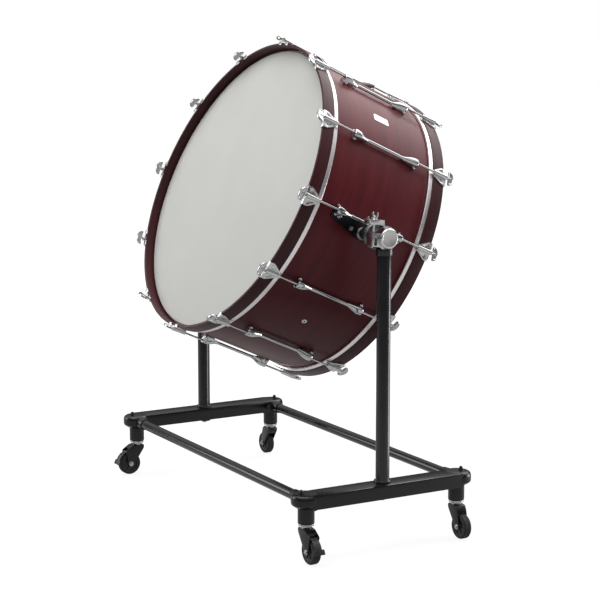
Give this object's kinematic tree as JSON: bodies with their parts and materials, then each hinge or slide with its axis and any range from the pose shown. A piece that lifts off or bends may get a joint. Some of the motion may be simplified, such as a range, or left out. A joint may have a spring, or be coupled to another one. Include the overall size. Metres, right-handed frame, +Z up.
{
  "type": "concert bass drum on a tilting caster stand",
  "caption": "Large double-headed concert bass drum hung by side pivots between two posts on a rolling base, tilted back, with T-rods, claws and clamps.",
  "frame": {"origin": "on the floor under the middle of the drum, halfway between the posts", "axes": "+Z up; +X along the pivot axis to the right seen from the batter side; -Y the way the batter head faces"},
  "size_m": [1.3072, 0.8707, 1.4846],
  "materials": {
    "lacquered_wood": "dark red-brown lacquer with a satin lustre",
    "head_film": "off-white coated film, matte",
    "chrome": "bright polished plating",
    "black_steel": "satin black paint on steel",
    "black_rubber": "matte black tread",
    "black_plastic": "moulded, slightly textured"
  },
  "bodies": {
    "stand": {"side_rail_left": "black_steel", "side_rail_right": "black_steel", "front_cross_bar": "black_steel", "rear_cross_bar": "black_steel", "post_left": "black_steel", "post_right": "black_steel"},
    "drum": {"shell": "lacquered_wood", "vent": "chrome", "batter_head": "head_film", "resonant_head": "head_film", "batter_hoop": "lacquered_wood", "resonant_hoop": "lacquered_wood", "lug_01": "chrome", "lug_02": "chrome", "lug_04": "chrome", "lug_05": "chrome", "lug_06": "chrome", "lug_07": "chrome", "lug_08": "chrome", "lug_10": "chrome", "lug_11": "chrome", "lug_12": "chrome", "pivot_lug_right": "chrome", "pivot_lug_left": "chrome"},
    "batter_rod_03": {"batter_rod_03": "chrome"},
    "resonant_rod_03": {"resonant_rod_03": "chrome"},
    "batter_rod_02": {"batter_rod_02": "chrome"},
    "resonant_rod_02": {"resonant_rod_02": "chrome"},
    "batter_rod_01": {"batter_rod_01": "chrome"},
    "resonant_rod_01": {"resonant_rod_01": "chrome"},
    "batter_rod_12": {"batter_rod_12": "chrome"},
    "resonant_rod_12": {"resonant_rod_12": "chrome"},
    "batter_rod_11": {"batter_rod_11": "chrome"},
    "resonant_rod_11": {"resonant_rod_11": "chrome"},
    "batter_rod_10": {"batter_rod_10": "chrome"},
    "resonant_rod_10": {"resonant_rod_10": "chrome"},
    "batter_rod_09": {"batter_rod_09": "chrome"},
    "resonant_rod_09": {"resonant_rod_09": "chrome"},
    "batter_rod_08": {"batter_rod_08": "chrome"},
    "resonant_rod_08": {"resonant_rod_08": "chrome"},
    "batter_rod_07": {"batter_rod_07": "chrome"},
    "resonant_rod_07": {"resonant_rod_07": "chrome"},
    "batter_rod_06": {"batter_rod_06": "chrome"},
    "resonant_rod_06": {"resonant_rod_06": "chrome"},
    "batter_rod_05": {"batter_rod_05": "chrome"},
    "resonant_rod_05": {"resonant_rod_05": "chrome"},
    "batter_rod_04": {"batter_rod_04": "chrome"},
    "resonant_rod_04": {"resonant_rod_04": "chrome"},
    "wing_screw_right": {"wing_screw_right": "chrome"},
    "wing_screw_left": {"wing_screw_left": "chrome"},
    "caster_fork_front_right": {"caster_fork_front_right": "chrome"},
    "caster_wheel_front_right": {"caster_wheel_front_right": "black_rubber"},
    "brake_pedal_front_right": {"brake_pedal_front_right": "black_plastic"},
    "caster_fork_front_left": {"caster_fork_front_left": "chrome"},
    "caster_wheel_front_left": {"caster_wheel_front_left": "black_rubber"},
    "brake_pedal_front_left": {"brake_pedal_front_left": "black_plastic"},
    "caster_fork_rear_left": {"caster_fork_rear_left": "chrome"},
    "caster_wheel_rear_left": {"caster_wheel_rear_left": "black_rubber"},
    "caster_fork_rear_right": {"caster_fork_rear_right": "chrome"},
    "caster_wheel_rear_right": {"caster_wheel_rear_right": "black_rubber"}
  },
  "joints": [
    {"name": "drum_tilt", "type": "hinge", "parent": "stand", "child": "drum", "pos_m": [0, -0.00995, 0.9211], "axis": [-1, 0, 0], "range_deg": [-114.6, 65.4]},
    {"name": "batter_rod_03_turn", "type": "hinge", "parent": "drum", "child": "batter_rod_03", "pos_m": [0.47593, 0.00669, 0.94757], "axis": [0, -0.909, 0.4168], "continuous": true},
    {"name": "resonant_rod_03_turn", "type": "hinge", "parent": "drum", "child": "resonant_rod_03", "pos_m": [0.47593, 0.00669, 0.94757], "axis": [0, 0.909, -0.4168], "continuous": true},
    {"name": "batter_rod_02_turn", "type": "hinge", "parent": "drum", "child": "batter_rod_02", "pos_m": [0.40876, 0.10505, 1.1621], "axis": [0, -0.909, 0.4168], "continuous": true},
    {"name": "resonant_rod_02_turn", "type": "hinge", "parent": "drum", "child": "resonant_rod_02", "pos_m": [0.40876, 0.10505, 1.1621], "axis": [0, 0.909, -0.4168], "continuous": true},
    {"name": "batter_rod_01_turn", "type": "hinge", "parent": "drum", "child": "batter_rod_01", "pos_m": [0.23457, 0.17602, 1.31689], "axis": [0, -0.909, 0.4168], "continuous": true},
    {"name": "resonant_rod_01_turn", "type": "hinge", "parent": "drum", "child": "resonant_rod_01", "pos_m": [0.23457, 0.17602, 1.31689], "axis": [0, 0.909, -0.4168], "continuous": true},
    {"name": "batter_rod_12_turn", "type": "hinge", "parent": "drum", "child": "batter_rod_12", "pos_m": [0, 0.20178, 1.37308], "axis": [0, -0.909, 0.4168], "continuous": true},
    {"name": "resonant_rod_12_turn", "type": "hinge", "parent": "drum", "child": "resonant_rod_12", "pos_m": [0, 0.20178, 1.37308], "axis": [0, 0.909, -0.4168], "continuous": true},
    {"name": "batter_rod_11_turn", "type": "hinge", "parent": "drum", "child": "batter_rod_11", "pos_m": [-0.23457, 0.17602, 1.31689], "axis": [0, -0.909, 0.4168], "continuous": true},
    {"name": "resonant_rod_11_turn", "type": "hinge", "parent": "drum", "child": "resonant_rod_11", "pos_m": [-0.23457, 0.17602, 1.31689], "axis": [0, 0.909, -0.4168], "continuous": true},
    {"name": "batter_rod_10_turn", "type": "hinge", "parent": "drum", "child": "batter_rod_10", "pos_m": [-0.40876, 0.10505, 1.1621], "axis": [0, -0.909, 0.4168], "continuous": true},
    {"name": "resonant_rod_10_turn", "type": "hinge", "parent": "drum", "child": "resonant_rod_10", "pos_m": [-0.40876, 0.10505, 1.1621], "axis": [0, 0.909, -0.4168], "continuous": true},
    {"name": "batter_rod_09_turn", "type": "hinge", "parent": "drum", "child": "batter_rod_09", "pos_m": [-0.47593, 0.00669, 0.94757], "axis": [0, -0.909, 0.4168], "continuous": true},
    {"name": "resonant_rod_09_turn", "type": "hinge", "parent": "drum", "child": "resonant_rod_09", "pos_m": [-0.47593, 0.00669, 0.94757], "axis": [0, 0.909, -0.4168], "continuous": true},
    {"name": "batter_rod_08_turn", "type": "hinge", "parent": "drum", "child": "batter_rod_08", "pos_m": [-0.41561, -0.09331, 0.72945], "axis": [0, -0.909, 0.4168], "continuous": true},
    {"name": "resonant_rod_08_turn", "type": "hinge", "parent": "drum", "child": "resonant_rod_08", "pos_m": [-0.41561, -0.09331, 0.72945], "axis": [0, 0.909, -0.4168], "continuous": true},
    {"name": "batter_rod_07_turn", "type": "hinge", "parent": "drum", "child": "batter_rod_07", "pos_m": [-0.24141, -0.16757, 0.56748], "axis": [0, -0.909, 0.4168], "continuous": true},
    {"name": "resonant_rod_07_turn", "type": "hinge", "parent": "drum", "child": "resonant_rod_07", "pos_m": [-0.24141, -0.16757, 0.56748], "axis": [0, 0.909, -0.4168], "continuous": true},
    {"name": "batter_rod_06_turn", "type": "hinge", "parent": "drum", "child": "batter_rod_06", "pos_m": [0, -0.19498, 0.5077], "axis": [0, -0.909, 0.4168], "continuous": true},
    {"name": "resonant_rod_06_turn", "type": "hinge", "parent": "drum", "child": "resonant_rod_06", "pos_m": [0, -0.19498, 0.5077], "axis": [0, 0.909, -0.4168], "continuous": true},
    {"name": "batter_rod_05_turn", "type": "hinge", "parent": "drum", "child": "batter_rod_05", "pos_m": [0.24141, -0.16757, 0.56748], "axis": [0, -0.909, 0.4168], "continuous": true},
    {"name": "resonant_rod_05_turn", "type": "hinge", "parent": "drum", "child": "resonant_rod_05", "pos_m": [0.24141, -0.16757, 0.56748], "axis": [0, 0.909, -0.4168], "continuous": true},
    {"name": "batter_rod_04_turn", "type": "hinge", "parent": "drum", "child": "batter_rod_04", "pos_m": [0.41561, -0.09331, 0.72945], "axis": [0, -0.909, 0.4168], "continuous": true},
    {"name": "resonant_rod_04_turn", "type": "hinge", "parent": "drum", "child": "resonant_rod_04", "pos_m": [0.41561, -0.09331, 0.72945], "axis": [0, 0.909, -0.4168], "continuous": true},
    {"name": "wing_screw_right_turn", "type": "hinge", "parent": "stand", "child": "wing_screw_right", "pos_m": [0.5802, -0.04775, 0.92507], "axis": [0, 0.1045, 0.9945], "continuous": true},
    {"name": "wing_screw_left_turn", "type": "hinge", "parent": "stand", "child": "wing_screw_left", "pos_m": [-0.5802, -0.04775, 0.92507], "axis": [0, 0.1045, 0.9945], "continuous": true},
    {"name": "swivel_front_right", "type": "hinge", "parent": "stand", "child": "caster_fork_front_right", "pos_m": [0.5802, -0.2672, 0.1], "axis": [0, 0, 1], "continuous": true},
    {"name": "wheel_spin_front_right", "type": "hinge", "parent": "caster_fork_front_right", "child": "caster_wheel_front_right", "pos_m": [0.6102, -0.2672, 0.0375], "axis": [0, 1, 0], "continuous": true},
    {"name": "brake_pedal_front_right_press", "type": "hinge", "parent": "caster_fork_front_right", "child": "brake_pedal_front_right", "pos_m": [0.62333, -0.2672, 0.07792], "axis": [0, 1, 0], "range_deg": [0, 4]},
    {"name": "swivel_front_left", "type": "hinge", "parent": "stand", "child": "caster_fork_front_left", "pos_m": [-0.5802, -0.2672, 0.1], "axis": [0, 0, 1], "continuous": true},
    {"name": "wheel_spin_front_left", "type": "hinge", "parent": "caster_fork_front_left", "child": "caster_wheel_front_left", "pos_m": [-0.5802, -0.2972, 0.0375], "axis": [1, 0, 0], "continuous": true},
    {"name": "brake_pedal_front_left_press", "type": "hinge", "parent": "caster_fork_front_left", "child": "brake_pedal_front_left", "pos_m": [-0.5802, -0.31034, 0.07792], "axis": [1, 0, 0], "range_deg": [0, 4]},
    {"name": "swivel_rear_left", "type": "hinge", "parent": "stand", "child": "caster_fork_rear_left", "pos_m": [-0.5802, 0.2523, 0.1], "axis": [0, 0, 1], "continuous": true},
    {"name": "wheel_spin_rear_left", "type": "hinge", "parent": "caster_fork_rear_left", "child": "caster_wheel_rear_left", "pos_m": [-0.6102, 0.2523, 0.0375], "axis": [0, -1, 0], "continuous": true},
    {"name": "swivel_rear_right", "type": "hinge", "parent": "stand", "child": "caster_fork_rear_right", "pos_m": [0.5802, 0.2523, 0.1], "axis": [0, 0, 1], "continuous": true},
    {"name": "wheel_spin_rear_right", "type": "hinge", "parent": "caster_fork_rear_right", "child": "caster_wheel_rear_right", "pos_m": [0.6102, 0.2523, 0.0375], "axis": [0, 1, 0], "continuous": true}
  ]
}
